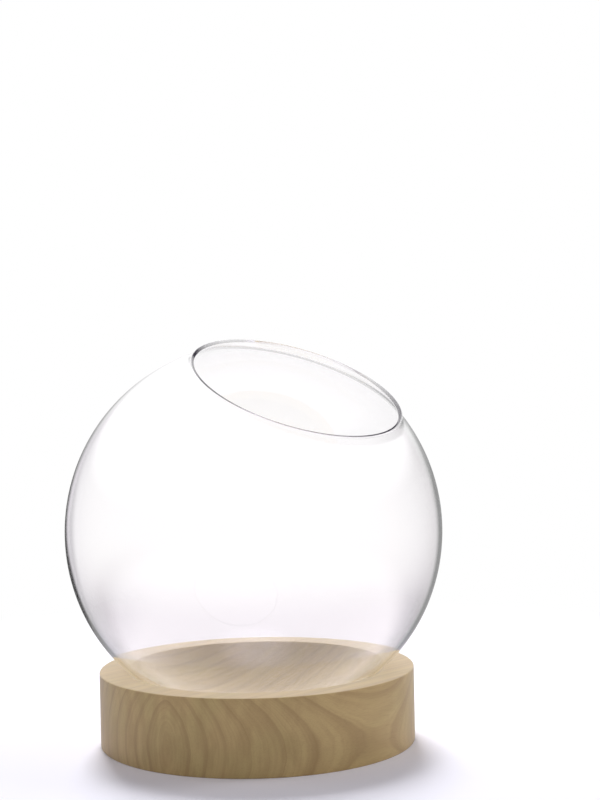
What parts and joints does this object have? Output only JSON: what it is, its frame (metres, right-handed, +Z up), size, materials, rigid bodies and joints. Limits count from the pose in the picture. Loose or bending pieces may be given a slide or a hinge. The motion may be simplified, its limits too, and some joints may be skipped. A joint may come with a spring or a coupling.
{
  "type": "globe vase",
  "caption": "Clear blown-glass globe vase with a slanted round mouth and a fire-polished lip, resting loose in the dish of a low turned round base of pale wood.",
  "frame": {"origin": "centre of the wooden base's flat underside", "axes": "+Z up, along the base's turning axis; -Y is the side that the picture was taken from and +X is its right; the mouth leans towards +X and -Y"},
  "size_m": [0.25, 0.25, 0.2671],
  "materials": {
    "pale_wood": "bare, fine sanded, open grain",
    "clear_glass": "clear, blown, fire-polished"
  },
  "bodies": {
    "base": {"wooden_base": "pale_wood"},
    "globe": {"glass_globe": "clear_glass"}
  },
  "joints": [
    {"name": "globe_lift", "type": "slide", "parent": "base", "child": "globe", "axis": [0, 0, 1], "range_m": [0, 0.08]}
  ]
}
